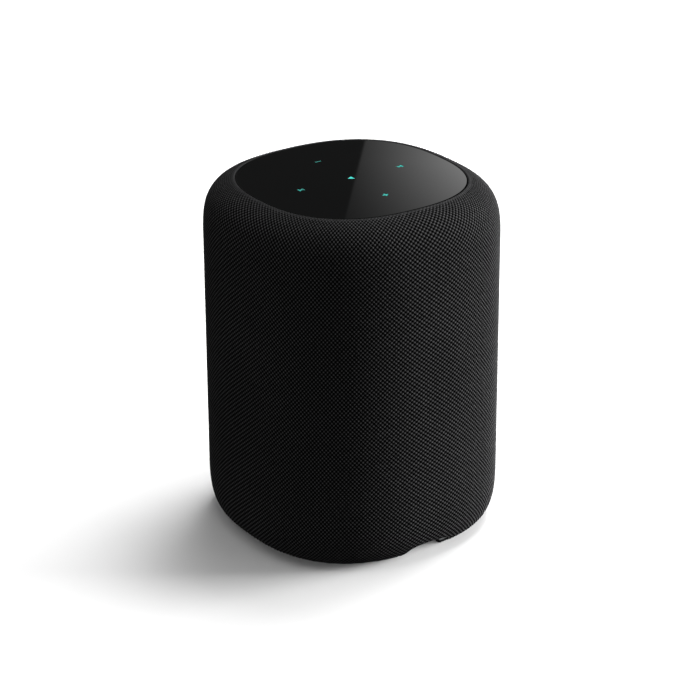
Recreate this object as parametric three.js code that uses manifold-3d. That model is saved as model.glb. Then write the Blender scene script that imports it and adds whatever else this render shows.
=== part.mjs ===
// Smart home hub: a fabric-covered, rounded-square smart speaker with a glossy touch panel in its top.
// Units are millimetres. +Z is up, the origin is at the middle of the footprint on the surface it stands on.
// The user faces it from -Y, the cable leaves at +Y, and +X is on the user's right.
import * as THREE from "three";
import { mergeVertices } from "three/addons/utils/BufferGeometryUtils.js";
import Module from "manifold-3d";

const wasm = await Module();
wasm.setup();

// ---- Driving dimensions -------------------------------------------------------------------------
const HALF_WIDTH = 60; // centre to the middle of a side, over the fabric
const CORNER_POWER = 2.4624; // superellipse exponent of the rounded-square plan
const HEIGHT = 158.5; // height at which the shoulder curve would close
const SHOULDER = { width: 34.35, height: 27.79, power: 3.5 }; // top curve, in from the side and down from HEIGHT
const FOOT_CURVE = { width: 15.9, height: 27.99, power: 3.42 }; // bottom curve
const FABRIC = 1.2; // fabric thickness
const GAP = 0.3; // between pieces that touch
const GRILLE_WALL = 2.5;
const GLASS = { half: 46.4, top: 156.8, thickness: 2.44 };
const ICON_RING = 25.3; // centre of the panel to each outer icon
const ICON_STROKE = 0.7;
const CHANNEL_HALF = 11.3; // half width of the cable channel in the base
const FOOT = { inner: 49.0, outer: 51.5, height: 1.2 };
const ENCLOSURE = { half: 50, wall: 3, floor: 50, seam: 109.5, top: 129, flat_x: 45, flat_y: 48.5 };
const WOOFER_Z = 47; // front face of the woofer's frame
const RADIATOR_Z = 80; // axis height of the two passive radiators
const TWEETER_Z = 92;
const AROUND = 48; // facets around the large rounded-square pieces
const HIDDEN_AROUND = 24; // facets around rounded-square pieces that the skin hides
const ROUND = 20; // facets around the small round pieces

// ---- Geometry helpers ---------------------------------------------------------------------------
// Turns a closed three.js geometry into a solid. Shared corners are merged and the faces made to point out.
function solid(geometry) {
  const bare = new THREE.BufferGeometry();
  const loose = geometry.index ? geometry.toNonIndexed() : geometry;
  bare.setAttribute("position", loose.getAttribute("position").clone());
  const joined = mergeVertices(bare, 1e-4);
  const p = joined.getAttribute("position").array;
  const index = joined.index.array;
  const triangles = [];
  let volume = 0;
  for (let i = 0; i < index.length; i += 3) {
    const [a, b, c] = [index[i], index[i + 1], index[i + 2]];
    if (a === b || b === c || a === c) continue;
    triangles.push(a, b, c);
    const A = new THREE.Vector3().fromArray(p, a * 3);
    const B = new THREE.Vector3().fromArray(p, b * 3);
    const C = new THREE.Vector3().fromArray(p, c * 3);
    volume += A.dot(B.cross(C));
  }
  if (volume < 0) {
    for (let i = 0; i < triangles.length; i += 3) {
      [triangles[i], triangles[i + 1]] = [triangles[i + 1], triangles[i]];
    }
  }
  return new wasm.Manifold(
    new wasm.Mesh({ numProp: 3, vertProperties: new Float32Array(p), triVerts: new Uint32Array(triangles) }),
  );
}

// A round piece about Z from its [radius, z] outline, which closes on itself or on the axis.
function turned(outline, facets = ROUND) {
  const points = outline.map(([r, z]) => new THREE.Vector2(r, z));
  if (outline[0][0] > 1e-6) points.push(points[0].clone());
  return solid(new THREE.LatheGeometry(points, facets).rotateX(Math.PI / 2));
}

// How far the rounded-square plan reaches beyond a circle, at the direction of x, y.
function stretch(x, y) {
  const d = Math.hypot(x, y);
  if (d < 1e-9) return 1;
  return (Math.abs(x / d) ** CORNER_POWER + Math.abs(y / d) ** CORNER_POWER) ** (-1 / CORNER_POWER);
}

// The same as turned, with the plan swept out to the rounded square.
function squircled(outline, facets = AROUND) {
  const points = outline.map(([r, z]) => new THREE.Vector2(r, z));
  if (outline[0][0] > 1e-6) points.push(points[0].clone());
  const g = new THREE.LatheGeometry(points, facets).rotateX(Math.PI / 2);
  const p = g.getAttribute("position");
  for (let i = 0; i < p.count; i++) {
    const k = stretch(p.getX(i), p.getY(i));
    p.setXY(i, p.getX(i) * k, p.getY(i) * k);
  }
  return solid(g);
}

function block(x0, x1, y0, y1, z0, z1) {
  return solid(new THREE.BoxGeometry(x1 - x0, y1 - y0, z1 - z0).translate((x0 + x1) / 2, (y0 + y1) / 2, (z0 + z1) / 2));
}

// A round bar along Z.
function rod(r, z0, z1, x = 0, y = 0, facets = 16) {
  return solid(new THREE.CylinderGeometry(r, r, z1 - z0, facets).rotateX(Math.PI / 2).translate(x, y, (z0 + z1) / 2));
}

// A round bar along X or Y.
function rodX(r, x0, x1, y, z, facets = ROUND) {
  return solid(new THREE.CylinderGeometry(r, r, x1 - x0, facets).rotateZ(Math.PI / 2).translate((x0 + x1) / 2, y, z));
}
function rodY(r, y0, y1, x, z, facets = ROUND) {
  return solid(new THREE.CylinderGeometry(r, r, y1 - y0, facets).translate(x, (y0 + y1) / 2, z));
}

// An outline in X and Y raised from z0 to z1.
function raised(outline, z0, z1) {
  const shape = new THREE.Shape(outline.map(([x, y]) => new THREE.Vector2(x, y)));
  return solid(new THREE.ExtrudeGeometry(shape, { depth: z1 - z0, bevelEnabled: false }).translate(0, 0, z0));
}

// An outline in X and Z run along Y from y0 to y1.
function alongY(outline, y0, y1) {
  const shape = new THREE.Shape(outline.map(([x, z]) => new THREE.Vector2(x, -z)));
  return solid(new THREE.ExtrudeGeometry(shape, { depth: y1 - y0, bevelEnabled: false }).rotateX(-Math.PI / 2).translate(0, y0, 0));
}

function joined(first, ...rest) {
  return rest.reduce((a, b) => a.add(b), first);
}
function cut(first, ...rest) {
  return rest.reduce((a, b) => a.subtract(b), first);
}

function geometryOf(body) {
  const mesh = body.getMesh();
  const g = new THREE.BufferGeometry();
  const positions = new Float32Array((mesh.vertProperties.length / mesh.numProp) * 3);
  for (let i = 0; i < positions.length / 3; i++) {
    for (let k = 0; k < 3; k++) positions[i * 3 + k] = mesh.vertProperties[i * mesh.numProp + k];
  }
  g.setAttribute("position", new THREE.BufferAttribute(positions, 3));
  g.setIndex(new THREE.BufferAttribute(new Uint32Array(mesh.triVerts), 1));
  g.computeVertexNormals();
  return g;
}

// ---- Materials ----------------------------------------------------------------------------------
const finish = (color, roughness, metalness = 0, extra = {}) =>
  new THREE.MeshStandardMaterial({ color, roughness, metalness, ...extra });
const wovenBlack = () => finish(0x17171a, 0.9);
const glossBlack = () => finish(0x0a0b0c, 0.06);
const tealLit = () => finish(0x3fd8c6, 0.4, 0, { emissive: 0x2fd0c0 });
const foamBlack = () => finish(0x111112, 0.95);
const milkWhite = () => finish(0xe9ecec, 0.5);
const boardGreen = () => finish(0x12462f, 0.55);
const matteBlack = () => finish(0x1b1b1d, 0.6);
const satinGrey = () => finish(0xa9abad, 0.35, 0.2);
const rubberBlack = () => finish(0x141415, 0.85);
const bareAluminium = () => finish(0xb9bcc0, 0.4, 1);
const zincSteel = () => finish(0x9a9da1, 0.35, 1);
const ferriteGrey = () => finish(0x333335, 0.7, 0.1);
const conePaper = () => finish(0x222225, 0.8);
const copperWire = () => finish(0xb06a3a, 0.4, 1);
const spiderCloth = () => finish(0xc39a4d, 0.9);
const flexAmber = () => finish(0xa8641f, 0.45);

// ---- Scene graph --------------------------------------------------------------------------------
const hub = new THREE.Group();
function assembly(x = 0, y = 0, z = 0, rx = 0, ry = 0, rz = 0) {
  const g = new THREE.Group();
  g.position.set(x, y, z);
  g.rotation.set(rx, ry, rz);
  hub.add(g);
  return g;
}
function part(parent, name, shape, material, x = 0, y = 0, z = 0) {
  const mesh = new THREE.Mesh(shape.isBufferGeometry ? shape : geometryOf(shape), material);
  mesh.name = name;
  mesh.position.set(x, y, z);
  parent.add(mesh);
  return mesh;
}

// ---- The outer line of the fabric, and lines inset from it --------------------------------------
const BOTTOM_STEPS = [21.9, 32, 48, 66, 90];
const TOP_STEPS = [0, 8, 18, 31, 46, 64.8];
// Hidden pieces follow the same line more coarsely.
const COARSE_BOTTOM = [21.9, 48, 90];
const COARSE_TOP = [0, 18, 46, 64.8];
const rad = Math.PI / 180;
function bottomPoint(a) {
  const e = 2 / FOOT_CURVE.power;
  return [
    HALF_WIDTH - FOOT_CURVE.width + FOOT_CURVE.width * Math.sin(a * rad) ** e,
    FOOT_CURVE.height - FOOT_CURVE.height * Math.max(Math.cos(a * rad), 0) ** e,
  ];
}
function topPoint(a) {
  const e = 2 / SHOULDER.power;
  return [
    HALF_WIDTH - SHOULDER.width + SHOULDER.width * Math.cos(a * rad) ** e,
    HEIGHT - SHOULDER.height + SHOULDER.height * Math.sin(a * rad) ** e,
  ];
}
function inset(curve, a, d) {
  const [r0, z0] = curve(Math.max(a - 0.2, 0.0));
  const [r1, z1] = curve(Math.min(a + 0.2, 90));
  const length = Math.hypot(r1 - r0, z1 - z0);
  const [r, z] = curve(a);
  return [r - ((z1 - z0) / length) * d, z + ((r1 - r0) / length) * d];
}
// From the hem up to the lip round the panel.
function skinLine(d, low = BOTTOM_STEPS, high = TOP_STEPS) {
  return [...low.map((a) => inset(bottomPoint, a, d)), ...high.map((a) => inset(topPoint, a, d))];
}
const coarseLine = (d) => skinLine(d, COARSE_BOTTOM, COARSE_TOP);
// Keeps the stretch of a line between two heights, with an end point put on each limit.
function between(line, zLow, zHigh) {
  const kept = [];
  for (let i = 0; i < line.length; i++) {
    const [r, z] = line[i];
    if (i > 0) {
      const [r0, z0] = line[i - 1];
      for (const limit of [zLow, zHigh]) {
        if ((z0 - limit) * (z - limit) < 0) kept.push([r0 + ((limit - z0) / (z - z0)) * (r - r0), limit]);
      }
    }
    if (z >= zLow && z <= zHigh) kept.push([r, z]);
  }
  return kept;
}
// Cuts a line off where it comes in past radius r, near its top.
function stopAtRadius(line, r) {
  const kept = [];
  for (let i = 0; i < line.length; i++) {
    const [r1, z1] = line[i];
    if (i > 0 && r1 < r && line[i - 1][0] >= r) {
      const [r0, z0] = line[i - 1];
      kept.push([r, z0 + ((r0 - r) / (r0 - r1)) * (z1 - z0)]);
      break;
    }
    kept.push([r1, z1]);
  }
  return kept;
}

// The arch in the hem over the cable channel, a bell curve with rounded shoulders.
const ARCH_CENTRE = -1.6;
const ARCH = [
  [12.6, -1], [12.6, 1.2], [12.3, 2.5], [11.7, 3.5], [11.0, 4.4], [10.2, 5.2], [9.2, 5.8], [7.8, 6.25], [4.9, 6.7], [0, 7.05],
];
const archOutline = [...ARCH, ...ARCH.slice(0, -1).reverse().map(([x, z]) => [-x, z])].map(([x, z]) => [x + ARCH_CENTRE, z]);
const arch = () => alongY(archOutline, 30, 75);

// ---- Outer skin and structure -------------------------------------------------------------------
const shell = assembly();
{
  const outer = skinLine(0);
  const inner = stopAtRadius(skinLine(FABRIC, COARSE_BOTTOM), GLASS.half + 0.35);
  const lip = outer[outer.length - 1];
  const sleeve = squircled([...outer, [GLASS.half + 0.35, lip[1]], ...inner.reverse()].filter(
    ([r, z], i, all) => i === 0 || Math.hypot(r - all[i - 1][0], z - all[i - 1][1]) > 0.05,
  ));
  part(shell, "fabric_sleeve", cut(sleeve, arch()), wovenBlack());
}
{
  const ring = 48.3;
  const outer = between(stopAtRadius(coarseLine(FABRIC + GAP), ring), 2.7, 157);
  const inner = between(stopAtRadius(coarseLine(FABRIC + GAP + GRILLE_WALL), ring), 4.9, 157);
  let cage = squircled([...outer, ...inner.reverse()]);
  // Tall slots in two rows let the sound out all round.
  for (let k = 0; k < 24; k++) {
    const angle = (3.75 + 15 * k) * rad;
    for (const [z0, z1] of [[34, 80], [86, 132]]) {
      cage = cage.subtract(
        solid(new THREE.BoxGeometry(24, 6.4, z1 - z0).translate(62, 0, (z0 + z1) / 2).rotateZ(angle)),
      );
    }
  }
  part(shell, "grille_cage", cut(cage, arch()), matteBlack());
}

// ---- Base ---------------------------------------------------------------------------------------
const base = assembly();
const channelCut = (y0, z1) => block(-CHANNEL_HALF, CHANNEL_HALF, y0, 75, -2, z1);
part(
  base,
  "foot_ring",
  cut(
    squircled([[FOOT.inner, 0], [FOOT.outer, 0], [FOOT.outer, FOOT.height], [FOOT.inner, FOOT.height]]),
    // Open at the cable channel, with its corners eased off.
    raised([[-12.4, 53], [-11.7, 51.2], [-11.2, 50.5], [-10.9, 49.6], [-10.9, 45], [10.9, 45], [10.9, 49.6], [11.2, 50.5], [11.7, 51.2], [12.4, 53]], -1, 2),
  ),
  rubberBlack(),
);
part(
  base,
  "base_rim",
  cut(squircled([[49.0, 1.5], [51.9, 1.5], [51.9, 2.6], [49.0, 2.6]]), channelCut(30, 20)),
  satinGrey(),
);
const DIAGONAL = [[1, 1], [-1, 1], [-1, -1], [1, -1]];
{
  let cover = cut(squircled([[0, 1.5], [48.6, 1.5], [48.6, 4.5], [0, 4.5]]), channelCut(23.7, 20));
  for (const [sx, sy] of DIAGONAL) {
    cover = cut(cover, rod(3.2, 0, 3.3, sx * 28.3, sy * 28.3, 14), rod(1.6, 0, 6, sx * 28.3, sy * 28.3, 8));
  }
  part(base, "base_cover", cover, matteBlack());
}
{
  const wall = between(coarseLine(4.6), 4.8, 32.5);
  const inside = between(coarseLine(6.8), 7.0, 32.5);
  let pan = squircled([[0, 4.8], ...wall, ...inside.reverse(), [0, 7.0]], HIDDEN_AROUND);
  for (const [sx, sy] of DIAGONAL) pan = joined(pan, rod(3.8, 6, 15.5, sx * 28.3, sy * 28.3, 14));
  // The roof of the cable channel: deep at the jack for the plug, low at the rim for the cable.
  const envelope = squircled([[0, 4.8], ...wall, [0, 32.5]], HIDDEN_AROUND);
  pan = joined(
    pan,
    block(-CHANNEL_HALF - 2, CHANNEL_HALF + 2, 21.4, 46.5, 6, 20.4),
    block(-CHANNEL_HALF - 2, CHANNEL_HALF + 2, 45, 60, 6, 11.7).intersect(envelope),
  );
  pan = cut(
    pan,
    block(-CHANNEL_HALF, CHANNEL_HALF, 23.9, 44.4, 0, 18.2),
    channelCut(44, 9.5),
    block(-5.4, 5.4, 20, 25, 7.01, 17.7),
  );
  for (const [sx, sy] of DIAGONAL) pan = cut(pan, rod(1.6, 0, 14.2, sx * 28.3, sy * 28.3, 8));
  part(base, "base_pan", pan, matteBlack());
}
// Pan head pointing down, with a cross recess; z = 0 is the head's outer face.
function screw(head, headHeight, shank, length) {
  const reach = head * 0.56;
  const half = head * 0.14;
  const deep = headHeight * 0.6;
  return cut(
    turned([[0, 0], [head - 0.3, 0], [head, 0.3], [head, headHeight], [shank, headHeight], [shank, length], [0, length]], 12),
    block(-reach, reach, -half, half, -1, deep),
    block(-half, half, -reach, reach, -1, deep),
  );
}
const baseScrew = geometryOf(screw(2.8, 1.4, 1.2, 11.5));
DIAGONAL.forEach(([sx, sy], i) => part(base, `base_screw_${i + 1}`, baseScrew, zincSteel(), sx * 28.3, sy * 28.3, 1.6));

// ---- Power electronics --------------------------------------------------------------------------
const power = assembly();
{
  const edge = [];
  const flat = 19;
  const start = Math.asin(flat / 44);
  for (let i = 0; i <= 24; i++) {
    const a = Math.PI - start + ((Math.PI + 2 * start) * i) / 24;
    edge.push([44 * Math.cos(a), 44 * Math.sin(a)]);
  }
  let board = raised(edge, 17.8, 19.4);
  board = joined(
    board,
    rod(5, 19.2, 30, -22, -18, 12),
    rod(5, 19.2, 30, -10, -24, 12),
    rod(4, 19.2, 27, 4, -26, 12),
    block(14, 27, -24, -11, 19.2, 26.5),
    block(-34, -24, 0, 8, 19.2, 24),
    block(-6, 8, -8, 4, 19.2, 21.4),
    block(24, 34, -2, 8, 19.2, 25),
  );
  part(power, "power_board", board, boardGreen());
}
{
  // Barrel socket: its bore opens towards the rear, with the contact pin in the middle.
  let jack = block(-4.8, 4.8, 7.5, 23.4, 7.5, 17.3);
  jack = cut(jack, rodY(3.2, 12, 24, 0, 12.4, 14));
  jack = joined(jack, rodY(1.0, 11.5, 21.8, 0, 12.4, 8));
  part(power, "dc_jack", jack, matteBlack());
}

// ---- Acoustic diffuser under the woofer ---------------------------------------------------------
const acoustics = assembly();
{
  let diffuser = squircled([[0, 32.8], [53.8, 32.8], [53.8, 34.6], [34, 36.2], [16, 39.2], [0, 44]], HIDDEN_AROUND);
  for (const [sx, sy] of DIAGONAL) diffuser = joined(diffuser, rod(3, 34, 49.7, sx * 34.5, sy * 34.5, 10));
  part(acoustics, "acoustic_diffuser", diffuser, matteBlack());
}

// ---- Speaker enclosure --------------------------------------------------------------------------
// The outline is the rounded square with flats: two at the sides for the passive radiators, one in front for the tweeter.
function boxed(inward, z0, z1) {
  const { half, flat_x, flat_y } = ENCLOSURE;
  return squircled([[0, z0], [half - inward, z0], [half - inward, z1], [0, z1]], HIDDEN_AROUND).intersect(
    block(-flat_x + inward, flat_x - inward, -flat_y + inward, 90, z0 - 1, z1 + 1),
  );
}
const enclosure = assembly();
{
  const { wall, floor, seam, flat_x, flat_y } = ENCLOSURE;
  let lower = cut(boxed(0, floor, seam), boxed(wall, floor + wall, seam + 1));
  lower = cut(
    lower,
    rod(35.7, floor - 1, floor + wall + 1, 0, 0, ROUND),
    rodX(24, -flat_x - 6, flat_x + 6, 0, RADIATOR_Z),
    rodY(9, -flat_y - 6, -flat_y + 8, 0, TWEETER_Z),
  );
  for (let i = 0; i < 4; i++) {
    const a = (Math.PI / 2) * i;
    lower = cut(lower, rod(1.6, floor - 1, floor + wall - 0.4, 37.6 * Math.cos(a), 37.6 * Math.sin(a), 8));
  }
  part(enclosure, "lower_enclosure", lower, matteBlack());
  part(enclosure, "enclosure_seal", cut(boxed(0.2, seam + GAP, seam + 1.7), boxed(2.8, seam - 1, seam + 3)), rubberBlack());
  let upper = cut(boxed(0, seam + 2, ENCLOSURE.top), boxed(wall, seam + 1, ENCLOSURE.top - 2.6));
  for (const [sx, sy] of DIAGONAL) {
    upper = joined(upper, rod(4, ENCLOSURE.top - 1, 141.7, sx * 30, sy * 30, 10));
    upper = cut(upper, rod(1.8, 133.5, 143, sx * 30, sy * 30, 8));
  }
  part(enclosure, "upper_enclosure", upper, matteBlack());
}

// ---- Woofer, facing down; z = 0 is the front face of its frame ----------------------------------
const woofer = assembly(0, 0, WOOFER_Z);
{
  let basket = turned([
    [33.6, 0.2], [40, 0.2], [40, 2.7], [35.2, 2.7], [35.2, 6], [27.5, 19], [27.5, 20.6], [12, 20.6], [12, 19.1], [25.6, 19.1], [33.6, 5.5],
  ]);
  for (let k = 0; k < 6; k++) {
    basket = basket.subtract(solid(new THREE.BoxGeometry(24, 17, 9).translate(32, 0, 12.6).rotateZ((k + 0.5) * 60 * rad)));
  }
  for (let i = 0; i < 4; i++) {
    const a = (Math.PI / 2) * i;
    basket = cut(basket, rod(1.6, -1, 4, 37.6 * Math.cos(a), 37.6 * Math.sin(a), 8));
  }
  part(woofer, "woofer_basket", basket, zincSteel());
  part(woofer, "woofer_top_plate", turned([[9.6, 20.9], [24, 20.9], [24, 24.4], [9.6, 24.4]]), zincSteel());
  part(woofer, "woofer_magnet", turned([[12, 24.7], [26.6, 24.7], [27, 25.1], [27, 35.7], [26.6, 36.1], [12, 36.1]]), ferriteGrey());
  part(
    woofer,
    "woofer_yoke",
    turned([[3, 21], [7.2, 21], [7.2, 36.4], [24, 36.4], [24, 39.6], [23.2, 40.4], [3, 40.4]]),
    zincSteel(),
  );
  part(woofer, "woofer_voice_coil", turned([[7.6, 12.2], [8.1, 12.2], [8.1, 19.9], [9.1, 19.9], [9.1, 25.4], [7.6, 25.4]]), copperWire());
  part(woofer, "woofer_cone", turned([[28, 3.4], [28, 4.6], [18, 9.9], [8.5, 14], [8.5, 13], [18, 8.8]]), conePaper());
  part(
    woofer,
    "woofer_dust_cap",
    turned([[0, 7.4], [5, 8.2], [8.6, 9.9], [10.4, 11.3], [9.4, 11.4], [8.0, 10.5], [4.8, 9.0], [0, 8.2]]),
    conePaper(),
  );
  const roll = (r, thick, cx, cz, side, n = 3) => {
    const out = [];
    for (let i = 0; i <= n; i++) {
      const a = Math.PI + (Math.PI * i) / n;
      out.push([cx + r * Math.cos(a), cz + side * r * Math.sin(a)]);
    }
    for (let i = n; i >= 0; i--) {
      const a = Math.PI + (Math.PI * i) / n;
      out.push([cx + (r - thick) * Math.cos(a), cz + side * (r - thick) * Math.sin(a)]);
    }
    return out;
  };
  part(woofer, "woofer_surround", turned(roll(2.4, 0.6, 30.8, 3.9, 1)), rubberBlack());
  const zig = [];
  for (let i = 0; i <= 4; i++) zig.push([8.6 + (16.4 * i) / 4, 16.6 + (i % 2 ? 0.9 : 0)]);
  part(woofer, "woofer_spider", turned([...zig, ...zig.map(([r, z]) => [r, z + 0.45]).reverse()]), spiderCloth());
  const mountScrew = geometryOf(screw(2.4, 1.5, 1.2, 6.8));
  for (let i = 0; i < 4; i++) {
    const a = (Math.PI / 2) * i;
    part(woofer, `woofer_screw_${i + 1}`, mountScrew, zincSteel(), 37.6 * Math.cos(a), 37.6 * Math.sin(a), -1.6);
  }

  // Passive radiators, one on each side; z = 0 of each is the enclosure's flat.
  const frame = turned([[22, -3.2], [23.6, -3.2], [23.6, 0.3], [27, 0.3], [27, 3], [20.6, 3], [20.6, 0.4], [22, 0.4]]);
  const surround = turned(roll(2.35, 0.6, 17.95, 1.5, -1));
  const diaphragm = turned([[0, -0.6], [11.4, -0.6], [12, 0], [15.2, 0.7], [15.2, 2.4], [12.4, 2.4], [10.8, 1.5], [0, 1.5]]);
  for (const [side, x, turn] of [["left", -1, -Math.PI / 2], ["right", 1, Math.PI / 2]]) {
    const radiator = assembly(x * ENCLOSURE.flat_x, 0, RADIATOR_Z, 0, turn, 0);
    part(radiator, `${side}_radiator_frame`, frame, matteBlack());
    part(radiator, `${side}_radiator_surround`, surround, rubberBlack());
    part(radiator, `${side}_radiator_diaphragm`, diaphragm, bareAluminium());
  }
}

// ---- Tweeter, facing the user; z = 0 is the enclosure's front flat -------------------------------
{
  const tweeter = assembly(0, -ENCLOSURE.flat_y, TWEETER_Z, Math.PI / 2, 0, 0);
  part(tweeter, "tweeter_housing", turned([[0, -11], [8.4, -11], [8.4, 0.3], [15, 0.3], [15, 2.2], [14.4, 2.8], [7.6, 2.4], [7.6, -9.4], [0, -9.4]]), matteBlack());
  part(tweeter, "tweeter_magnet", turned([[0, -9.1], [5.2, -9.1], [5.2, -2.6], [0, -2.6]]), zincSteel());
  part(
    tweeter,
    "tweeter_dome",
    turned([[0, 4.2], [3.6, 3.3], [6.4, 1.0], [7.1, 1.0], [7.1, 0.4], [6.3, 0.4], [6.3, -6], [5.8, -6], [5.8, 0.6], [3.3, 2.6], [0, 3.5]]),
    conePaper(),
  );
}

// ---- Main electronics ---------------------------------------------------------------------------
const brain = assembly();
part(
  brain,
  "main_board",
  joined(
    rod(34, 131.3, 132.9, 0, 0, 28),
    block(-26, -16, -10, 4, 132.8, 134.6),
    block(15, 24, -14, -6, 132.8, 134.4),
    block(-8, 8, 16, 21, 132.8, 134.8),
    block(16, 24, 2, 8, 132.8, 134.2),
    block(-22, -14, 10, 16, 132.8, 134.0),
  ),
  boardGreen(),
);
part(brain, "processor_shield", block(-12, 12, -18, 6, 133.2, 135.4), zincSteel());
{
  // A comb of upright fins on a thin base.
  let sink = block(-18, 18, -22, 10, 135.7, 137.2);
  for (let i = 0; i < 9; i++) sink = joined(sink, block(-18 + i * 4.35, -16.8 + i * 4.35, -22, 10, 137, 141.6));
  part(brain, "heat_sink", sink, bareAluminium());
}
for (const [side, s] of [["left", -1], ["right", 1]]) {
  // A bent strip: an upright radiating leaf with a short foot towards the board.
  const x0 = s * 36.4;
  const x1 = s * 37.4;
  let leaf = block(Math.min(x0, x1), Math.max(x0, x1), -12, 12, 131.6, 141.2);
  leaf = cut(leaf, block(Math.min(x0, x1) - 1, Math.max(x0, x1) + 1, -8, 9, 135.4, 137.4));
  leaf = joined(leaf, block(Math.min(s * 34.6, x1), Math.max(s * 34.6, x1), -4, 4, 131.6, 132.6));
  part(brain, `antenna_${side}`, leaf, copperWire());
}
part(brain, "board_ribbon", block(-6, 6, 32.8, 33.2, 133.2, 148.3), flexAmber());

// ---- Touch panel stack --------------------------------------------------------------------------
const panel = assembly();
{
  let carrier = squircled([
    [0, 142], [46.2, 142], [47.9, 143.7], [47.9, 152.9], [42.6, 152.9], [42.6, 150.4], [45.2, 148.2], [45.2, 144.5], [0, 144.5],
  ], HIDDEN_AROUND);
  for (const [sx, sy] of DIAGONAL) {
    carrier = joined(carrier, rod(2.5, 144, 148.3, sx * 20, sy * 20, 8));
    carrier = cut(carrier, rod(1.8, 140, 146, sx * 30, sy * 30, 8));
  }
  carrier = cut(carrier, block(-7, 7, 31.8, 34.4, 140, 146));
  part(panel, "top_carrier", carrier, matteBlack());
}
{
  let board = squircled([[0, 148.6], [40, 148.6], [40, 150.2], [0, 150.2]], HIDDEN_AROUND);
  for (const [x, y] of [[0, 0], [1, 0], [-1, 0], [0, 1], [0, -1]]) {
    board = joined(board, block(x * ICON_RING - 1.7, x * ICON_RING + 1.7, y * ICON_RING - 1.7, y * ICON_RING + 1.7, 150, 151.3));
  }
  part(panel, "touch_board", board, boardGreen());
}
part(panel, "microphone_left", block(-38, -34, -1.5, 1.5, 147.1, 148.3), zincSteel());
part(panel, "microphone_right", block(34, 38, -1.5, 1.5, 147.1, 148.3), zincSteel());
part(panel, "light_guide", squircled([[0, 151.7], [40, 151.7], [40, 152.9], [0, 152.9]], HIDDEN_AROUND), milkWhite());
part(
  panel,
  "glass_gasket",
  squircled([[42.6, 153.2], [46.1, 153.2], [46.1, 154.06], [42.6, 154.06]], HIDDEN_AROUND),
  foamBlack(),
);
const carrierScrew = geometryOf(screw(2.6, 1.8, 1.3, 12.2).rotate([180, 0, 0]));
DIAGONAL.forEach(([sx, sy], i) => part(panel, `carrier_screw_${i + 1}`, carrierScrew, zincSteel(), sx * 30, sy * 30, 146.6));

// Each icon is a light pipe: a round flange under the panel and the icon's shape standing up through it.
const w = ICON_STROKE / 2;
const bar = (x0, x1, y0, y1, grow) => [[x0 - grow, y0 - grow], [x1 + grow, y0 - grow], [x1 + grow, y1 + grow], [x0 - grow, y1 + grow]];
// A triangle with its tip at +X or -X, grown outwards by a margin on every side.
function arrow(tip, back, half, grow) {
  const s = Math.sign(tip - back);
  const slope = Math.abs(tip - back) / half;
  const run = grow * Math.sqrt(1 + slope * slope);
  const t = tip + s * run;
  const b = back - s * grow;
  const h = Math.abs(t - b) / slope;
  return [[b, -h], [t, 0], [b, h]];
}
const ICONS = {
  icon_play: { x: 0, y: 0, shapes: (g) => [arrow(1.67, -0.85, 1.45, g)] },
  icon_next: { x: 1, y: 0, shapes: (g) => [arrow(0.95, -1.1, 1.05, g), bar(0.75, 0.75 + ICON_STROKE, -1.05, 1.05, g)] },
  icon_previous: { x: -1, y: 0, shapes: (g) => [arrow(-0.95, 1.1, 1.05, g), bar(-0.75 - ICON_STROKE, -0.75, -1.05, 1.05, g)] },
  icon_volume_up: { x: 0, y: 1, shapes: (g) => [bar(-1.3, 1.3, -w, w, g), bar(-w, w, -1.3, 1.3, g)] },
  icon_volume_down: { x: 0, y: -1, shapes: (g) => [bar(-1.45, 1.45, -w, w, g)] },
};
{
  const { half, top, thickness } = GLASS;
  const under = top - thickness;
  let glass = squircled([[0, under], [half - 0.4, under], [half, under + 0.4], [half, top - 0.3], [half - 0.3, top], [0, top]]);
  for (const [name, icon] of Object.entries(ICONS)) {
    const [cx, cy] = [icon.x * ICON_RING, icon.y * ICON_RING];
    const moved = (outline) => outline.map(([x, y]) => [x + cx, y + cy]);
    let pipe = rod(3.0, under - 1.16, under - 0.3, cx, cy, 12);
    for (const outline of icon.shapes(0)) pipe = joined(pipe, raised(moved(outline), under - 0.6, top));
    for (const outline of icon.shapes(0.3)) glass = cut(glass, raised(moved(outline), under - 1, top + 1));
    part(panel, name, pipe, tealLit());
  }
  part(panel, "top_glass", glass, glossBlack());
}

export default hub;
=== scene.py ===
import math

import bmesh
import bpy
import numpy as np
from mathutils import Matrix, Vector


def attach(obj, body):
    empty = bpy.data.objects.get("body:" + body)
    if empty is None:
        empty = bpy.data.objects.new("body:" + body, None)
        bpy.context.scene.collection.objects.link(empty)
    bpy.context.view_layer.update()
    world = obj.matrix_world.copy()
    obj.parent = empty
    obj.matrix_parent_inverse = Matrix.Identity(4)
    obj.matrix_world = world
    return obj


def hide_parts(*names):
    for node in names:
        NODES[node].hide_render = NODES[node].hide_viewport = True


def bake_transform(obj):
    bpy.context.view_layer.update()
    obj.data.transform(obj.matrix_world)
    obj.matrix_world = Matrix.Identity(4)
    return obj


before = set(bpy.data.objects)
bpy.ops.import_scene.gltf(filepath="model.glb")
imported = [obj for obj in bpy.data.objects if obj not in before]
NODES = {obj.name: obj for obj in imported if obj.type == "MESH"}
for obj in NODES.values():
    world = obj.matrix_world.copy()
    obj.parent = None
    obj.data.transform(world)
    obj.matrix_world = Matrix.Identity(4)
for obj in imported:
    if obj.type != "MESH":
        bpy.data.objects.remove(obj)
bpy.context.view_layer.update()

MM = 0.001

# =================================================================================================
# Camera
# =================================================================================================
CAMERA_AZIMUTH = math.radians(55.51)  # of the direction from the hub to the camera, from +X towards +Y
CAMERA_ELEVATION = math.radians(23.734)
CAMERA_DISTANCE = 1.12098
CAMERA_ROLL = -0.003876


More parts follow.
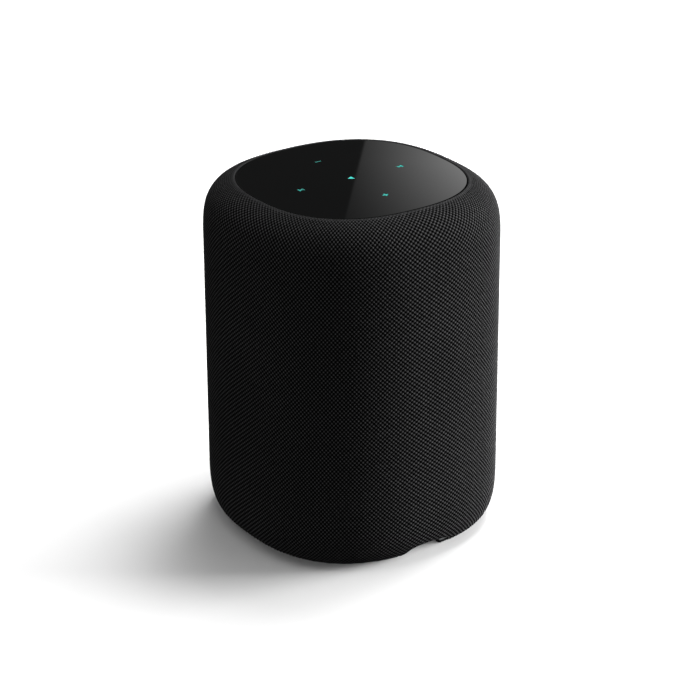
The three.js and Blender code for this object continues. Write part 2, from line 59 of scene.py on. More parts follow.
def camera_axes():
    back = Vector((
        math.cos(CAMERA_ELEVATION) * math.cos(CAMERA_AZIMUTH),
        math.cos(CAMERA_ELEVATION) * math.sin(CAMERA_AZIMUTH),
        math.sin(CAMERA_ELEVATION),
    ))
    right = Vector((-math.sin(CAMERA_AZIMUTH), math.cos(CAMERA_AZIMUTH), 0.0))
    return right, back.cross(right), back


RIGHT, UP, BACK = camera_axes()


def make_camera():
    data = bpy.data.cameras.new("camera")
    data.sensor_width = 36.0
    data.lens = 131.49
    data.clip_start, data.clip_end = 0.05, 60.0
    cam = bpy.data.objects.new("camera", data)
    bpy.context.scene.collection.objects.link(cam)
    target = RIGHT * (-0.0089 * 0.06) + Vector((0, 0, 0.07646))
    c, s = math.cos(CAMERA_ROLL), math.sin(CAMERA_ROLL)
    right, up = RIGHT * c + UP * s, UP * c - RIGHT * s
    cam.matrix_world = Matrix.Translation(
        target + BACK * CAMERA_DISTANCE - right * 0.00022 + up * 0.00022
    ) @ Matrix((
        (right.x, up.x, BACK.x, 0), (right.y, up.y, BACK.y, 0), (right.z, up.z, BACK.z, 0), (0, 0, 0, 1),
    ))
    bpy.context.scene.camera = cam
    return cam


make_camera()

# =================================================================================================
# Node helpers
# =================================================================================================


class Net:
    """A small builder of node trees: net.add("ShaderNodeX", {"Input": value or socket}, attribute=value)."""

    def __init__(self, tree):
        self.tree = tree
        tree.nodes.clear()

    def add(self, kind, inputs=None, out=None, **attributes):
        node = self.tree.nodes.new(kind)
        for key, value in attributes.items():
            setattr(node, key, value)
        for key, value in (inputs or {}).items():
            socket = node.inputs[key]
            if isinstance(value, bpy.types.NodeSocket):
                self.tree.links.new(value, socket)
            else:
                socket.default_value = value
        if not len(node.outputs):
            return node
        return node.outputs[out if out is not None else 0]

    def math(self, operation, a, b=None, c=None, clamp=False):
        inputs = {0: a}
        if b is not None:
            inputs[1] = b
        if c is not None:
            inputs[2] = c
        return self.add("ShaderNodeMath", inputs, operation=operation, use_clamp=clamp)

    def ramp(self, value, low, high, to_low=0.0, to_high=1.0, smooth=True):
        return self.add(
            "ShaderNodeMapRange",
            {"Value": value, "From Min": low, "From Max": high, "To Min": to_low, "To Max": to_high},
            interpolation_type="SMOOTHSTEP" if smooth else "LINEAR",
        )

    def mix(self, factor, a, b, blend="MIX"):
        node = self.tree.nodes.new("ShaderNodeMix")
        node.data_type = "RGBA"
        node.blend_type = blend
        for socket, value in ((node.inputs[0], factor), (node.inputs[6], a), (node.inputs[7], b)):
            if isinstance(value, bpy.types.NodeSocket):
                self.tree.links.new(value, socket)
            else:
                socket.default_value = value
        return node.outputs[2]

    def noise(self, vector, scale, detail=2.0, roughness=0.5, distortion=0.0):
        return self.add(
            "ShaderNodeTexNoise",
            {"Vector": vector, "Scale": scale, "Detail": detail, "Roughness": roughness, "Distortion": distortion},
        )

    def stretched(self, vector, x, y, z):
        return self.add("ShaderNodeMapping", {"Vector": vector, "Scale": (x, y, z)})

    def bump(self, height, distance, strength=1.0, normal=None):
        inputs = {"Height": height, "Distance": distance, "Strength": strength}
        if normal is not None:
            inputs["Normal"] = normal
        return self.add("ShaderNodeBump", inputs)

    def surface(self, **inputs):
        """The Principled shader and the output. Keys are socket names with spaces as underscores."""
        shader = self.tree.nodes.new("ShaderNodeBsdfPrincipled")
        for key, value in inputs.items():
            socket = shader.inputs[key.replace("_", " ")]
            if isinstance(value, bpy.types.NodeSocket):
                self.tree.links.new(value, socket)
            else:
                socket.default_value = value
        output = self.tree.nodes.new("ShaderNodeOutputMaterial")
        self.tree.links.new(shader.outputs[0], output.inputs["Surface"])
        return shader


def grey(v):
    return (v, v, v, 1.0)


def rgb(r, g, b):
    return (r, g, b, 1.0)


def material(name):
    m = bpy.data.materials.new(name)
    m.use_nodes = True
    return m, Net(m.node_tree)


def position(net):
    return net.add("ShaderNodeTexCoord", out="Object")


# =================================================================================================
# Materials
# =================================================================================================


def woven_fabric():
    """Black open weave. The weave layer counts periods round the body and up it; a pit lies at each cosine product of
    -1, and the pits' dark is partly the open weave and partly painted shade in the hollows.
    """
    m, net = material("woven_fabric")
    uv = net.add("ShaderNodeUVMap", uv_map="weave")
    at = net.add("ShaderNodeSeparateXYZ", {"Vector": uv})
    u, v = at, at.node.outputs[1]
    tau = 2 * math.pi
    cu = net.math("COSINE", net.math("MULTIPLY", u, tau))
    cv = net.math("COSINE", net.math("MULTIPLY", v, tau))
    # The cloth is pulled tight over the lip round the panel, and its pits close up.
    tight = net.math("MULTIPLY", net.ramp(v, WEAVE_TOP - 4.0, WEAVE_TOP - 0.5, 1.0, 0.8), net.ramp(v, WEAVE_TOP - 0.45, WEAVE_TOP - 0.1, 1.0, 0.3))
    knot = net.math("MULTIPLY_ADD", net.math("MULTIPLY", cu, cv), tight, net.math("MULTIPLY_ADD", tight, -0.45, 0.45))
    # Fine twisted filaments, which run along each strand.
    strands = net.noise(net.stretched(uv, 7.0, 2.2, 1.0), 3.0, 3.0, 0.65, 0.6)
    fibres = net.noise(net.stretched(uv, 2.4, 9.0, 1.0), 3.0, 3.0, 0.6, 0.4)
    # Each knot of thread takes the dye and the light slightly differently.
    cell = net.noise(uv, 0.9, 1.0, 0.5)
    mottle = net.noise(position(net), 26.0, 3.0, 0.55)
    # The steep power darkens the pits: partly the dark seen through the open weave, partly painted shade in the hollows
    # between knots.
    cover_and_pit_shade = net.math("POWER", net.math("MULTIPLY_ADD", knot, 0.5, 0.5), PIT_SHADE_POWER)
    lift = net.math("ADD", net.math("MULTIPLY", strands, 0.55), net.math("MULTIPLY", fibres, 0.45))
    yarn = net.math("MULTIPLY", cover_and_pit_shade, net.ramp(lift, 0.3, 0.72, 0.72, 1.18))
    yarn = net.math("MULTIPLY", yarn, net.ramp(mottle, 0.3, 0.7, 0.93, 1.06))
    yarn = net.math("MULTIPLY", yarn, net.ramp(cell, 0.25, 0.75, 0.86, 1.1))
    # Near-black in the pits: the open weave's dark together with painted shade.
    colour = net.mix(yarn, rgb(0.00015, 0.00015, 0.00016), rgb(FABRIC_COLOUR, FABRIC_COLOUR, FABRIC_COLOUR * 1.02))
    height = net.math("ADD", net.math("MULTIPLY", knot, 0.55), net.math("MULTIPLY", lift, 0.5))
    net.surface(
        Base_Color=colour,
        Roughness=net.ramp(yarn, 0.0, 1.1, 0.95, 0.62),
        Specular_IOR_Level=FABRIC_SPECULAR,
        Sheen_Weight=FABRIC_SHEEN,
        Sheen_Roughness=0.35,
        Normal=net.bump(height, 0.00025, 0.7),
    )
    return m


FABRIC_COLOUR = 0.0712
# How steeply the pits darken: partly the open weave, partly painted shade.
PIT_SHADE_POWER = 2.8
WEAVE_TOP = 84.0  # periods from the hem to the lip
FABRIC_SPECULAR = 0.0
FABRIC_SHEEN = 0.0


def panel_glass():
    """Opaque black glass: a mirror-smooth face with the faint haze of wiping."""
    m, net = material("panel_glass")
    at = position(net)
    haze = net.noise(net.stretched(at, 1.0, 2.6, 1.0), 22.0, 4.0, 0.6, 0.8)
    specks = net.noise(at, 900.0, 2.0, 0.5)
    depth = net.noise(at, 60.0, 2.0, 0.5)
    rough = net.math("ADD", net.ramp(haze, 0.35, 0.8, 0.018, 0.036), net.ramp(specks, 0.68, 0.8, 0.0, 0.03))
    net.surface(
        Base_Color=net.mix(depth, rgb(0.0004, 0.0005, 0.0005), rgb(0.0007, 0.0008, 0.0008)),
        Roughness=rough,
        IOR=1.5,
        Coat_Weight=0.0,
    )
    return m


def icon_light(name, strength, centre, outward, inner):
    """A lit light pipe with a slight milky grain. Its lamp sits under its outer end, so the inner end is dimmer."""
    m, net = material(name)
    at = position(net)
    grain = net.noise(at, 1400.0, 2.0, 0.5)
    tone = net.mix(grain, rgb(0.045, 0.83, 0.7), rgb(0.065, 1.0, 0.88))
    place = net.add("ShaderNodeVectorMath", {0: at, 1: centre}, operation="SUBTRACT")
    run = net.add("ShaderNodeVectorMath", {0: place, 1: outward}, operation="DOT_PRODUCT", out=1)
    lamp = net.ramp(run, -0.0012, 0.001, inner, 1.0)
    net.surface(
        Base_Color=net.mix(grain, rgb(0.012, 0.09, 0.08), rgb(0.02, 0.13, 0.11)),
        Roughness=net.ramp(grain, 0.3, 0.7, 0.22, 0.4),
        Emission_Color=net.mix(lamp, rgb(0.0, 0.0, 0.0), tone),
        Emission_Strength=strength,
    )
    return m


def moulded(name, colour, rough=0.5, grain=2600.0, depth=0.00004, wear=1.6):
    """Moulded plastic: spark-eroded grain, faint flow variation and slightly polished edges.
    Large plates have wear 0, because the polish is interpolated between far-apart corners."""
    m, net = material(name)
    at = position(net)
    fine = net.noise(at, grain, 3.0, 0.55)
    cloud = net.noise(at, 34.0, 4.0, 0.6, 0.7)
    body = net.mix(net.ramp(cloud, 0.3, 0.75), grey(1.0), grey(1.3), "MIX")
    base = net.mix(1.0, rgb(*colour), body, "MULTIPLY")
    base = net.mix(net.ramp(fine, 0.35, 0.7, 0.0, 0.22), base, rgb(*[min(1.0, c * 0.6) for c in colour]))
    roughness = net.ramp(fine, 0.3, 0.7, rough - 0.06, rough + 0.1)
    if wear:
        edge = net.ramp(net.add("ShaderNodeNewGeometry", out="Pointiness"), 0.515, 0.6)
        base = net.mix(net.math("MULTIPLY", edge, 0.5), base, rgb(*[min(1.0, c * wear + 0.004) for c in colour]))
        roughness = net.math("SUBTRACT", roughness, net.math("MULTIPLY", edge, 0.12))
    net.surface(Base_Color=base, Roughness=roughness, Normal=net.bump(fine, depth, 0.7))
    return m


def metal(name, colour, rough=0.3, brush=(1.0, 1.0, 1.0), tint=0.85, scale=1500.0, metallic=1.0):
    """Plated or bare metal with a fine brushed or turned texture and faint stains."""
    m, net = material(name)
    at = position(net)
    lines = net.noise(net.stretched(at, *brush), scale, 3.0, 0.6)
    stains = net.noise(at, 70.0, 4.0, 0.6, 0.8)
    edge = net.ramp(net.add("ShaderNodeNewGeometry", out="Pointiness"), 0.51, 0.6)
    base = net.mix(net.ramp(stains, 0.3, 0.75), rgb(*colour), rgb(*[c * tint for c in colour]))
    base = net.mix(net.math("MULTIPLY", edge, 0.4), base, rgb(*[min(1.0, c * 1.25) for c in colour]))
    net.surface(
        Base_Color=base,
        Metallic=metallic,
        Roughness=net.math("ADD", net.ramp(lines, 0.3, 0.7, rough - 0.08, rough + 0.1), net.ramp(stains, 0.45, 0.8, 0.0, 0.1)),
        Normal=net.bump(lines, 0.00003, 0.5),
    )
    return m


def circuit_board():
    """Green solder mask over a grid of copper tracks, with tinned pads and dark packages above the board."""
    m, net = material("circuit_board")
    at = position(net)
    grid = net.add("ShaderNodeTexBrick", {
        "Vector": net.stretched(at, 160.0, 160.0, 160.0), "Color1": grey(0.0), "Color2": grey(0.4), "Mortar": grey(1.0),
        "Scale": 3.0, "Mortar Size": 0.05, "Mortar Smooth": 0.2, "Brick Width": 1.6, "Row Height": 0.42,
    })
    tracks = net.ramp(net.noise(at, 90.0, 1.0, 0.4, 2.4), 0.47, 0.5)
    pads = net.add("ShaderNodeTexVoronoi", {"Vector": at, "Scale": 420.0, "Randomness": 0.55}, out="Distance")
    pad = net.math("MULTIPLY", net.ramp(pads, 0.26, 0.2), net.ramp(net.noise(at, 55.0, 1.0), 0.52, 0.56))
    fine = net.noise(at, 2600.0, 2.0, 0.5)
    mask = net.mix(net.math("MULTIPLY", tracks, 0.8), rgb(0.006, 0.05, 0.022), rgb(0.012, 0.09, 0.038))
    mask = net.mix(net.math("MULTIPLY", grid, 0.5), mask, rgb(0.016, 0.11, 0.05))
    mask = net.mix(pad, mask, rgb(0.72, 0.7, 0.62))
    net.surface(
        Base_Color=mask,
        Metallic=net.math("MULTIPLY", pad, 0.8),
        Roughness=net.ramp(fine, 0.3, 0.7, 0.28, 0.42),
        Normal=net.bump(net.math("ADD", tracks, net.math("MULTIPLY", pad, 1.5)), 0.00005, 0.8),
    )
    return m


def component(name, colour, rough):
    return moulded(name, colour, rough, 1800.0, 0.00003)


def rubber(name, colour, rough=0.75):
    m, net = material(name)
    at = position(net)
    fine = net.noise(at, 1900.0, 4.0, 0.65)
    bloom = net.noise(at, 48.0, 3.0, 0.6, 0.5)
    base = net.mix(net.ramp(bloom, 0.4, 0.8, 0.0, 0.55), rgb(*colour), rgb(*[c * 1.7 + 0.003 for c in colour]))
    net.surface(
        Base_Color=net.mix(net.ramp(fine, 0.4, 0.7, 0.0, 0.3), base, rgb(*[c * 0.5 for c in colour])),
        Roughness=net.ramp(fine, 0.3, 0.7, rough - 0.08, rough + 0.12),
        Specular_IOR_Level=0.35,
        Normal=net.bump(fine, 0.00005, 0.6),
    )
    return m


def foam():
    m, net = material("foam")
    at = position(net)
    cells = net.add("ShaderNodeTexVoronoi", {"Vector": at, "Scale": 1500.0}, out="Distance")
    net.surface(
        Base_Color=net.mix(net.ramp(cells, 0.1, 0.6), rgb(0.003, 0.003, 0.0032), rgb(0.014, 0.014, 0.015)),
        Roughness=net.ramp(cells, 0.0, 0.6, 0.98, 0.84),
        Specular_IOR_Level=0.2,
        Normal=net.bump(cells, 0.0002, 0.8),
    )
    return m


def milk_plastic():
    m, net = material("milk_plastic")
    at = position(net)
    cloud = net.noise(at, 40.0, 3.0, 0.6)
    fine = net.noise(at, 1300.0, 2.0, 0.5)
    dots = net.add("ShaderNodeTexVoronoi", {"Vector": at, "Scale": 520.0, "Randomness": 0.0}, out="Distance")
    net.surface(
        Base_Color=net.mix(net.ramp(cloud, 0.3, 0.7), rgb(0.72, 0.75, 0.75), rgb(0.82, 0.84, 0.83)),
        Roughness=net.ramp(fine, 0.3, 0.7, 0.38, 0.52),
        Subsurface_Weight=0.2,
        Subsurface_Scale=0.002,
        Normal=net.bump(dots, 0.00006, 0.5),
    )
    return m


def ferrite():
    m, net = material("ferrite")
    at = position(net)
    fine = net.noise(at, 1600.0, 5.0, 0.7)
    chips = net.add("ShaderNodeTexVoronoi", {"Vector": at, "Scale": 260.0}, out="Distance")
    net.surface(
        Base_Color=net.mix(fine, rgb(0.018, 0.018, 0.02), rgb(0.055, 0.055, 0.058)),
        Metallic=0.1,
        Roughness=net.ramp(fine, 0.3, 0.7, 0.42, 0.7),
        Normal=net.bump(net.math("ADD", fine, net.math("MULTIPLY", chips, 0.4)), 0.00008, 0.6),
    )
    return m


def cone_pulp():
    """Pressed paper pulp, with short fibres in every direction."""
    m, net = material("cone_pulp")
    at = position(net)
    a = net.noise(net.stretched(at, 1.0, 7.0, 3.0), 300.0, 3.0, 0.7, 1.5)
    b = net.noise(net.stretched(at, 7.0, 1.0, 3.0), 300.0, 3.0, 0.7, 1.5)
    fibres = net.math("MAXIMUM", a, b)
    net.surface(
        Base_Color=net.mix(net.ramp(fibres, 0.45, 0.78), rgb(0.009, 0.009, 0.0095), rgb(0.034, 0.034, 0.035)),
        Roughness=net.ramp(fibres, 0.4, 0.8, 0.9, 0.68),
        Specular_IOR_Level=0.25,
        Normal=net.bump(fibres, 0.0001, 0.8),
    )
    return m


def spider_cloth():
    """Resin-stiffened amber cloth with a plain weave."""
    m, net = material("spider_cloth")
    at = position(net)
    sep = net.add("ShaderNodeSeparateXYZ", {"Vector": at})
    x, y = sep, sep.node.outputs[1]
    wx = net.math("SINE", net.math("MULTIPLY", x, 2 * math.pi / 0.0006))
    wy = net.math("SINE", net.math("MULTIPLY", y, 2 * math.pi / 0.0006))
    weave = net.math("MULTIPLY", wx, wy)
    stain = net.noise(at, 90.0, 3.0, 0.6)
    base = net.mix(net.ramp(stain, 0.3, 0.7), rgb(0.42, 0.25, 0.07), rgb(0.55, 0.35, 0.12))
    net.surface(
        Base_Color=net.mix(net.ramp(weave, -0.8, 0.4, 0.55, 0.0), base, rgb(0.12, 0.06, 0.015)),
        Roughness=net.ramp(weave, -1.0, 1.0, 0.9, 0.62),
        Normal=net.bump(weave, 0.00008, 0.8),
    )
    return m


def copper_winding():
    m, net = material("copper_winding")
    at = position(net)
    sep = net.add("ShaderNodeSeparateXYZ", {"Vector": at})
    turns = net.math("SINE", net.math("MULTIPLY", sep.node.outputs[2], 2 * math.pi / 0.00025))
    stains = net.noise(at, 120.0, 3.0, 0.6)
    net.surface(
        Base_Color=net.mix(net.ramp(stains, 0.3, 0.7), rgb(0.72, 0.31, 0.15), rgb(0.5, 0.19, 0.08)),
        Metallic=1.0,
        Roughness=net.ramp(stains, 0.3, 0.7, 0.24, 0.4),
        Normal=net.bump(turns, 0.00005, 0.9),
    )
    return m


def flex_film():
    m, net = material("flex_film")
    at = position(net)
    sep = net.add("ShaderNodeSeparateXYZ", {"Vector": at})
    tracks = net.math("SINE", net.math("MULTIPLY", sep, 2 * math.pi / 0.001))
    fine = net.noise(at, 900.0, 2.0, 0.5)
    net.surface(
        Base_Color=net.mix(net.ramp(tracks, -0.2, 0.3), rgb(0.36, 0.13, 0.02), rgb(0.55, 0.26, 0.06)),
        Roughness=net.ramp(fine, 0.3, 0.7, 0.28, 0.4),
        Normal=net.bump(tracks, 0.00003, 0.6),
    )
    return m


FABRIC = woven_fabric()
GLASS = panel_glass()
PLASTIC = moulded("moulded_black", (0.012, 0.012, 0.013), 0.48)
BASE_PLASTIC = moulded("base_plastic", (0.0112, 0.0112, 0.0122), 0.52, wear=0.0)
RIM = moulded("rim_plastic", (0.42, 0.43, 0.44), 0.34, 2200.0, 0.00002, 1.2)
FOOT = rubber("foot_rubber", (0.0065, 0.0065, 0.007))
SEAL = rubber("seal_rubber", (0.008, 0.008, 0.0085), 0.7)
STEEL = metal("plated_steel", (0.52, 0.53, 0.55), 0.32)
SCREW = metal("screw_steel", (0.5, 0.51, 0.53), 0.28)
ALLOY = metal("heat_sink_alloy", (0.68, 0.69, 0.71), 0.34, (0.2, 3.0, 3.0))
COPPER = metal("copper_strip", (0.72, 0.36, 0.2), 0.3)
WINDING = copper_winding()
BOARD = circuit_board()
FOAM = foam()
MILK = milk_plastic()
FERRITE = ferrite()
PULP = cone_pulp()
SPIDER = spider_cloth()
FLEX = flex_film()


def assign(obj, mat):
    """Puts the material in every slot of the object."""
    if not obj.data.materials:
        obj.data.materials.append(mat)
    for slot in obj.material_slots:
        slot.material = mat


# =================================================================================================
# Shape helpers. Outlines are in millimetres and meshes in metres.
# =================================================================================================
PLAN_POWER = 2.4624  # of the rounded-square plan


def stretch(c, s):
    return (np.abs(c) ** PLAN_POWER + np.abs(s) ** PLAN_POWER) ** (-1 / PLAN_POWER)


def even_angles(count, rounded_square=True):
    """Angles that share the plan's outline into equal lengths, from +X."""
    if not rounded_square:
        return np.arange(count) * 2 * math.pi / count
    t = np.linspace(0, 2 * math.pi, 100001)
    k = stretch(np.cos(t), np.sin(t))
    x, y = k * np.cos(t), k * np.sin(t)
    run = np.concatenate([[0], np.cumsum(np.hypot(np.diff(x), np.diff(y)))])
    return np.interp(np.arange(count) / count * run[-1], run, t)


def weave_angles(count):
    """Angles of evenly counted thread columns, which lie closer together round the corners than on the flats."""
    t = np.linspace(0, 2 * math.pi, 100001)
    k = stretch(np.cos(t), np.sin(t))
    x, y = k * np.cos(t), k * np.sin(t)
    mid = (t[1:] + t[:-1]) / 2
    pitch = 1.9906 + 0.3510 * np.cos(4 * mid) + 0.0393 * np.cos(8 * mid) + 0.0182 * np.cos(12 * mid)
    run = np.concatenate([[0], np.cumsum(np.hypot(np.diff(x), np.diff(y)) / pitch)])
    return np.interp(np.arange(count) / count * run[-1], run, t)


def mesh_of(name, points, faces, smooth=True):
    """An object from points and a list of arrays of faces, each with its own number of corners."""
    mesh = bpy.data.meshes.new(name)
    points = np.asarray(points, np.float32)
    faces = [np.asarray(f, np.int32) for f in faces if len(f)]
    corners = np.concatenate([f.ravel() for f in faces])
    sizes = np.concatenate([np.full(len(f), f.shape[1], np.int32) for f in faces])
    starts = np.concatenate([[0], np.cumsum(sizes)[:-1]]).astype(np.int32)
    mesh.vertices.add(len(points))
    mesh.vertices.foreach_set("co", points.ravel())
    mesh.loops.add(len(corners))
    mesh.loops.foreach_set("vertex_index", corners)
    mesh.polygons.add(len(sizes))
    mesh.polygons.foreach_set("loop_start", starts)
    mesh.polygons.foreach_set("loop_total", sizes)
    mesh.polygons.foreach_set("use_smooth", np.full(len(sizes), smooth))
    mesh.update(calc_edges=True)
    mesh.validate()
    obj = bpy.data.objects.new(name, mesh)
    bpy.context.scene.collection.objects.link(obj)
    return obj


def superellipse(n, low, high, count):
    """Points (x, y) of |x|^n + |y|^n = 1 between two directions, evenly in direction."""
    a = np.linspace(low, high, count)
    c, s = np.cos(a), np.sin(a)
    rho = (np.abs(c) ** n + np.abs(s) ** n) ** (-1 / n)
    return rho * c, rho * s


def fabric_line():
    """The outer line of the fabric from the hem to the lip round the panel: radius, height and length along it, in mm."""
    low = math.atan(math.tan(math.radians(21.9)) ** (2 / 3.42))
    high = math.atan(math.tan(math.radians(64.8)) ** (2 / 3.5))
    c, s = superellipse(3.42, low, math.pi / 2, 1500)
    r0, z0 = 60 - 15.9 + 15.9 * s, 27.99 - 27.99 * c
    c, s = superellipse(3.5, 0, high, 1500)
    r1, z1 = 60 - 34.35 + 34.35 * c, 158.5 - 27.79 + 27.79 * s
    r = np.concatenate([r0, [60, 60], r1[1:]])
    z = np.concatenate([z0, [60, 100], z1[1:]])
    run = np.concatenate([[0], np.cumsum(np.hypot(np.diff(r), np.diff(z)))])
    return r, z, run


LINE_R, LINE_Z, LINE_S = fabric_line()


def on_line(s, depth=0.0):
    """Radius and height at length s along the fabric, depth mm under its face, and the face's normal there."""
    r = np.interp(s, LINE_S, LINE_R)
    z = np.interp(s, LINE_S, LINE_Z)
    e = 0.25
    dr = np.interp(s + e, LINE_S, LINE_R) - np.interp(s - e, LINE_S, LINE_R)
    dz = np.interp(s + e, LINE_S, LINE_Z) - np.interp(s - e, LINE_S, LINE_Z)
    length = np.hypot(dr, dz)
    nr, nz = dz / length, -dr / length
    return r - nr * depth, z - nz * depth, nr, nz


# The arch in the hem over the cable, as (half width, height) from its centre.
ARCH_CENTRE = -1.6
ARCH = [(12.6, -1.0), (12.6, 1.2), (12.3, 2.5), (11.7, 3.5), (11.0, 4.4), (10.2, 5.2), (9.2, 5.8), (7.8, 6.25), (4.9, 6.7), (0.0, 7.05)]


def arch_height(x):
    xs = np.array([p[0] for p in ARCH[1:]][::-1])
    zs = np.array([p[1] for p in ARCH[1:]][::-1])
    ax = np.abs(x - ARCH_CENTRE)
    # Rounded by averaging a few near points of the straight pieces.
    total = 0
    for d in (-0.7, -0.35, 0.0, 0.35, 0.7):
        total = total + np.interp(np.abs(ax + d), xs, zs, right=1.2)
    return np.where(ax < 12.6, total / 5, -10.0)


# =================================================================================================
# The fabric sleeve: one seamless tube of woven cloth, stretched over the cage and turned in at both ends
# =================================================================================================
PERIODS = 200  # pairs of thread columns round the body
PER_PERIOD = 4
ROW_PERIOD = 1.935  # mm of two staggered rows
RELIEF = 0.22  # mm from the middle of a thread to a pit, each way
CLOTH = 1.05  # mm thick, between the knots


def fabric_sleeve():
    columns = PERIODS * PER_PERIOD
    theta = weave_angles(columns)
    c, s = np.cos(theta), np.sin(theta)
    k = stretch(c, s)
    roll = CLOTH / 2
    s_low, s_high = roll, LINE_S[-1] - 0.75
    step = ROW_PERIOD / 4
    rows = int((s_high - s_low) / step)
    outer_s = s_low + np.arange(rows + 1) * step
    r, z, nr, nz = on_line(outer_s)
    # The lowest length kept in each column, above the arch.
    start = np.full(columns, s_low)
    dense = np.linspace(s_low, 30, 3000)
    dr, dz, _, _ = on_line(dense)
    for i in np.nonzero((np.abs(c) * 60 * k < 17) & (s > 0))[0]:
        x = dr * k[i] * c[i]
        over = np.nonzero(dz >= arch_height(x) + 0.0)[0]
        start[i] = max(s_low, dense[over[0]])
    # The line of each column: (offset along the outward normal is added after).
    column_s = np.maximum(outer_s[None, :], start[:, None])
    R, Z, NR, NZ = on_line(column_s)
    u = np.arange(columns) / PER_PERIOD
    v = (outer_s - s_low) / ROW_PERIOD
    column_v = (column_s - s_low) / ROW_PERIOD
    knot = np.cos(2 * np.pi * u)[:, None] * np.cos(2 * np.pi * column_v)
    # Lower where the cloth turns in, and where the columns crowd together at the top.
    ease = np.clip((column_s - start[:, None]) / 1.0, 0, 1) * np.clip((LINE_S[-1] - 0.7 - column_s) / 1.2, 0, 1)
    crowd = np.clip(R / 60, 0.6, 1)
    lift = RELIEF * knot * ease * crowd
    outer = (R + NR * lift, Z + NZ * lift)
    # The lip: over a round edge, down beside the glass, and back under the cloth.
    r_end, z_end, nr_end, nz_end = on_line(outer_s[-1])
    lip = []
    lip_inner = 46.75
    radius = 0.5
    cr, cz = lip_inner + radius, z_end + (r_end - lip_inner - radius) * 0.22 - radius + 0.12
    for a in np.radians([78, 98, 120, 145, 170]):
        lip.append((cr + radius * math.cos(a), cz + radius * math.sin(a)))
    lip += [(lip_inner, cz - 0.5), (lip_inner, cz - 1.1), (lip_inner + 0.25, cz - 1.45), (lip_inner + 0.9, cz - 1.5)]
    # The inner face, coarser.
    inner_s = np.concatenate([np.linspace(LINE_S[-1] - 3.0, 130, 8), np.linspace(118, 40, 5), np.linspace(34, 3, 14)])
    inner_cs = np.maximum(inner_s[None, :], start[:, None])
    IR, IZ, _, _ = on_line(inner_cs, CLOTH)
    # The hem: a half round from the inner face back to the outer one.
    hem = []
    base_s = start
    br, bz, bnr, bnz = on_line(base_s)
    tr, tz = -bnz, bnr  # up the cloth
    for a in np.radians([180, 150, 120, 90, 60, 30]):
        hr = br - bnr * roll + roll * (math.cos(a) * bnr - math.sin(a) * tr)
        hz = bz - bnz * roll + roll * (math.cos(a) * bnz - math.sin(a) * tz)
        hem.append((hr, hz))
    parts_r = [outer[0]] + [np.full((columns, 1), p[0]) for p in lip] + [IR] + [h[0][:, None] for h in hem]
    parts_z = [outer[1]] + [np.full((columns, 1), p[1]) for p in lip] + [IZ] + [h[1][:, None] for h in hem]
    R = np.concatenate(parts_r, 1)
    Z = np.concatenate(parts_z, 1)
    total = R.shape[1]
    n_outer, n_lip, n_inner = rows + 1, len(lip), len(inner_s)
    # A length for every row, for the weave layer.
    mean_s = np.concatenate([outer_s, outer_s[-1] + np.cumsum([0.5] * n_lip), 2 * LINE_S[-1] - inner_s, 2 * LINE_S[-1] - 0.3 + np.arange(len(hem)) * 0.3])
    all_v = np.tile((mean_s - s_low) / ROW_PERIOD, (columns, 1))
    all_v[:, :n_outer] = column_v
    points = np.stack([R * (k * c)[:, None], R * (k * s)[:, None], Z], 2).reshape(-1, 3) * MM
    # Rows below the arch fold onto its edge.
    index = np.arange(columns * total).reshape(columns, total)
    for i in np.nonzero(start > s_low + 1e-6)[0]:
        low = np.nonzero(outer_s < start[i] - 1e-9)[0][-1]
        index[i, :low] = index[i, low]
        first = n_outer + n_lip
        under = np.nonzero(inner_s < start[i] - 1e-9)[0]
        if len(under):
            index[i, first + under[0]: first + n_inner] = index[i, first + under[0]]
    nxt = np.roll(index, -1, 0)
    up = np.roll(index, -1, 1)
    nup = np.roll(nxt, -1, 1)
    quads = np.stack([index, nxt, nup, up], 2).reshape(-1, 4)
    column_of = np.repeat(np.arange(columns), total)
    row_of = np.tile(np.arange(total), columns)
    vv = all_v
    uq = np.stack([column_of, column_of + 1, column_of + 1, column_of], 1) / PER_PERIOD
    nxt_col = (column_of + 1) % columns
    nxt_row = (row_of + 1) % total
    vq = np.stack([vv[column_of, row_of], vv[nxt_col, row_of], vv[nxt_col, nxt_row], vv[column_of, nxt_row]], 1)
    last = row_of == total - 1
    vq[last, 2] = vq[last, 1] + 0.1
    vq[last, 3] = vq[last, 0] + 0.1
    same = np.stack([quads[:, j] == quads[:, (j + 1) % 4] for j in range(4)], 1)
    whole = ~same.any(1)
    tri_corners, tri_u, tri_v = [], [], []
    for q in np.nonzero(same.sum(1) == 1)[0]:
        keep = [j for j in range(4) if not same[q, j]]
        tri_corners.append(quads[q, keep])
        tri_u.append(uq[q, keep])
        tri_v.append(vq[q, keep])
    used = np.unique(np.concatenate([quads[whole].ravel(), np.array(tri_corners).ravel()])) if tri_corners else np.unique(quads[whole])
    renumber = np.full(len(points), -1, np.int32)
    renumber[used] = np.arange(len(used))
    obj = mesh_of("fabric_sleeve_cloth", points[used], [renumber[quads[whole]]] + ([renumber[np.array(tri_corners)]] if tri_corners else []))
    uv = np.concatenate([np.stack([uq[whole], vq[whole]], 2).reshape(-1, 2)] + ([np.stack([np.array(tri_u), np.array(tri_v)], 2).reshape(-1, 2)] if tri_corners else []))
    layer = obj.data.uv_layers.new(name="weave")
    layer.data.foreach_set("uv", uv.astype(np.float32).ravel())
    assign(obj, FABRIC)
    return obj


sleeve = fabric_sleeve()
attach(sleeve, "housing")
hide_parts("fabric_sleeve")


